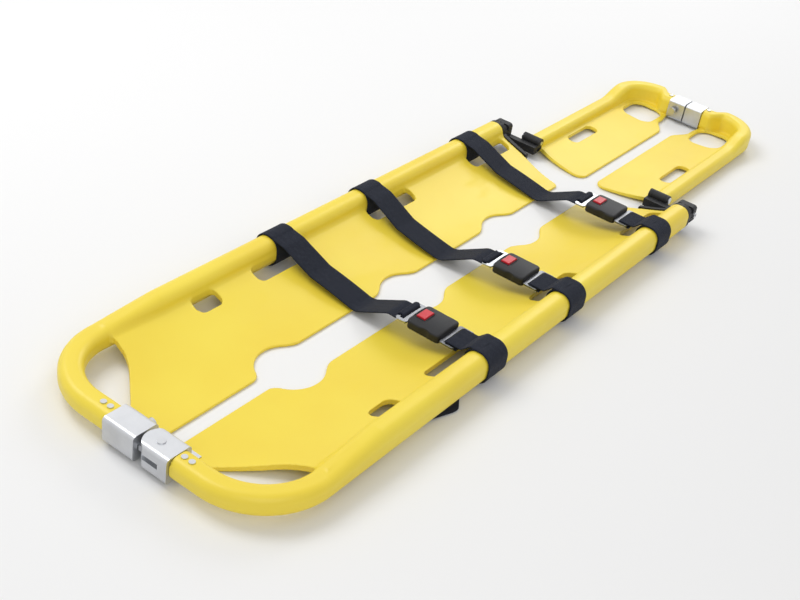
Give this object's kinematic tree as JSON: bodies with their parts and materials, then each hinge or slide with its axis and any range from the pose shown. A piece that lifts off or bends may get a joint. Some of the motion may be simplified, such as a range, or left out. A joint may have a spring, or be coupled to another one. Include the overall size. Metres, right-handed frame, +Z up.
{
  "type": "scoop stretcher",
  "caption": "Two-piece moulded scoop stretcher whose halves part lengthwise, with a sliding, folding foot section, hand slots and webbing belts with push-button buckles.",
  "frame": {"origin": "on the ground, midway along the length and between the two halves, at the shortest setting", "axes": "+X from the head end to the foot end, +Y towards the half that carries the belt tongues, +Z up"},
  "size_m": [1.64, 0.4572, 0.0611],
  "materials": {
    "yellow_shell": "satin moulded polyethylene",
    "black_plastic": "fine grained moulded plastic",
    "black_casting": "black powder coat",
    "bare_aluminium": "satin",
    "steel": "zinc plated",
    "chrome_plate": "polished",
    "webbing": "woven polyester webbing",
    "red_plastic": "smooth"
  },
  "bodies": {
    "left_half": {"left_main_shell": "yellow_shell", "left_end_cap": "black_plastic", "left_head_rivets": "steel", "head_socket": "bare_aluminium", "far_strap_1": "webbing", "far_strap_2": "webbing", "far_strap_3": "webbing"},
    "head_tongue": {"head_tongue": "steel"},
    "right_half": {"right_main_shell": "yellow_shell", "right_end_cap": "black_plastic", "right_head_rivets": "steel", "head_clevis": "bare_aluminium", "head_pivot_pin": "steel", "near_strap_1": "webbing", "buckle_cover_1": "black_plastic", "buckle_latch_1": "steel", "buckle_spring_1": "steel", "strap_adjuster_1": "chrome_plate", "near_strap_2": "webbing", "buckle_cover_2": "black_plastic", "buckle_latch_2": "steel", "buckle_spring_2": "steel", "strap_adjuster_2": "chrome_plate", "near_strap_3": "webbing", "buckle_cover_3": "black_plastic", "buckle_latch_3": "steel", "buckle_spring_3": "steel", "strap_adjuster_3": "chrome_plate"},
    "head_lock": {"head_lock_plunger": "steel"},
    "foot_lock": {"foot_lock_plunger": "steel"},
    "left_rail": {"left_rail": "bare_aluminium", "left_rail_slider": "black_plastic", "left_hinge_bracket": "black_casting", "left_bracket_screw": "steel", "left_hinge_pin": "steel"},
    "left_collar": {"left_lock_collar": "black_plastic"},
    "right_rail": {"right_rail": "bare_aluminium", "right_rail_slider": "black_plastic", "right_hinge_bracket": "black_casting", "right_bracket_screw": "steel", "right_hinge_pin": "steel"},
    "right_collar": {"right_lock_collar": "black_plastic"},
    "left_foot": {"left_foot_shell": "yellow_shell", "left_foot_knuckle": "black_casting", "left_foot_rivets": "steel", "foot_socket": "bare_aluminium"},
    "right_foot": {"right_foot_shell": "yellow_shell", "right_foot_knuckle": "black_casting", "right_foot_rivets": "steel", "foot_tongue_block": "bare_aluminium"},
    "tongue_1": {"belt_tongue_1": "chrome_plate"},
    "button_1": {"buckle_button_1": "red_plastic"},
    "tongue_2": {"belt_tongue_2": "chrome_plate"},
    "button_2": {"buckle_button_2": "red_plastic"},
    "tongue_3": {"belt_tongue_3": "chrome_plate"},
    "button_3": {"buckle_button_3": "red_plastic"}
  },
  "joints": [
    {"name": "separation", "type": "slide", "parent": "left_half", "child": "head_tongue", "axis": [0, -1, 0], "range_m": [0, 0.25]},
    {"name": "scissor_opening", "type": "hinge", "parent": "head_tongue", "child": "right_half", "pos_m": [-0.798, -0.026, 0.027], "axis": [0, 0, -1], "range_deg": [0, 30]},
    {"name": "head_lock", "type": "slide", "parent": "left_half", "child": "head_lock", "axis": [-1, 0, 0], "range_m": [0, 0.006]},
    {"name": "extension", "type": "slide", "parent": "left_half", "child": "left_rail", "axis": [1, 0, 0], "range_m": [0, 0.37]},
    {"name": "extension_right", "type": "slide", "parent": "right_half", "child": "right_rail", "axis": [1, 0, 0], "range_m": [0, 0.37]},
    {"name": "collar_left", "type": "hinge", "parent": "left_half", "child": "left_collar", "pos_m": [0.3333, 0.205, 0.0335], "axis": [1, 0, 0], "range_deg": [0, 90]},
    {"name": "collar_right", "type": "hinge", "parent": "right_half", "child": "right_collar", "pos_m": [0.3333, -0.205, 0.0335], "axis": [-1, 0, 0], "range_deg": [0, 90]},
    {"name": "fold", "type": "hinge", "parent": "left_rail", "child": "left_foot", "pos_m": [0.367, 0.143, 0.03], "axis": [0, -1, 0], "range_deg": [0, 150]},
    {"name": "fold_right", "type": "hinge", "parent": "right_rail", "child": "right_foot", "pos_m": [0.367, -0.143, 0.03], "axis": [0, -1, 0], "range_deg": [0, 150]},
    {"name": "foot_lock", "type": "slide", "parent": "left_foot", "child": "foot_lock", "axis": [1, 0, 0], "range_m": [0, 0.006]},
    {"name": "unbuckle_1", "type": "slide", "parent": "left_half", "child": "tongue_1", "axis": [0, 1, 0], "range_m": [0, 0.032]},
    {"name": "push_button_1", "type": "slide", "parent": "right_half", "child": "button_1", "axis": [0, 0, -1], "range_m": [0, 0.0025], "stiffness_N_per_m": 2000, "deforming": ["buckle_spring_1"]},
    {"name": "unbuckle_2", "type": "slide", "parent": "left_half", "child": "tongue_2", "axis": [0, 1, 0], "range_m": [0, 0.032]},
    {"name": "push_button_2", "type": "slide", "parent": "right_half", "child": "button_2", "axis": [0, 0, -1], "range_m": [0, 0.0025], "stiffness_N_per_m": 2000, "deforming": ["buckle_spring_2"]},
    {"name": "unbuckle_3", "type": "slide", "parent": "left_half", "child": "tongue_3", "axis": [0, 1, 0], "range_m": [0, 0.032]},
    {"name": "push_button_3", "type": "slide", "parent": "right_half", "child": "button_3", "axis": [0, 0, -1], "range_m": [0, 0.0025], "stiffness_N_per_m": 2000, "deforming": ["buckle_spring_3"]}
  ],
  "couplings": [
    {"joint": "extension_right", "follows": "extension", "ratio": 1},
    {"joint": "fold_right", "follows": "fold", "ratio": 1}
  ]
}
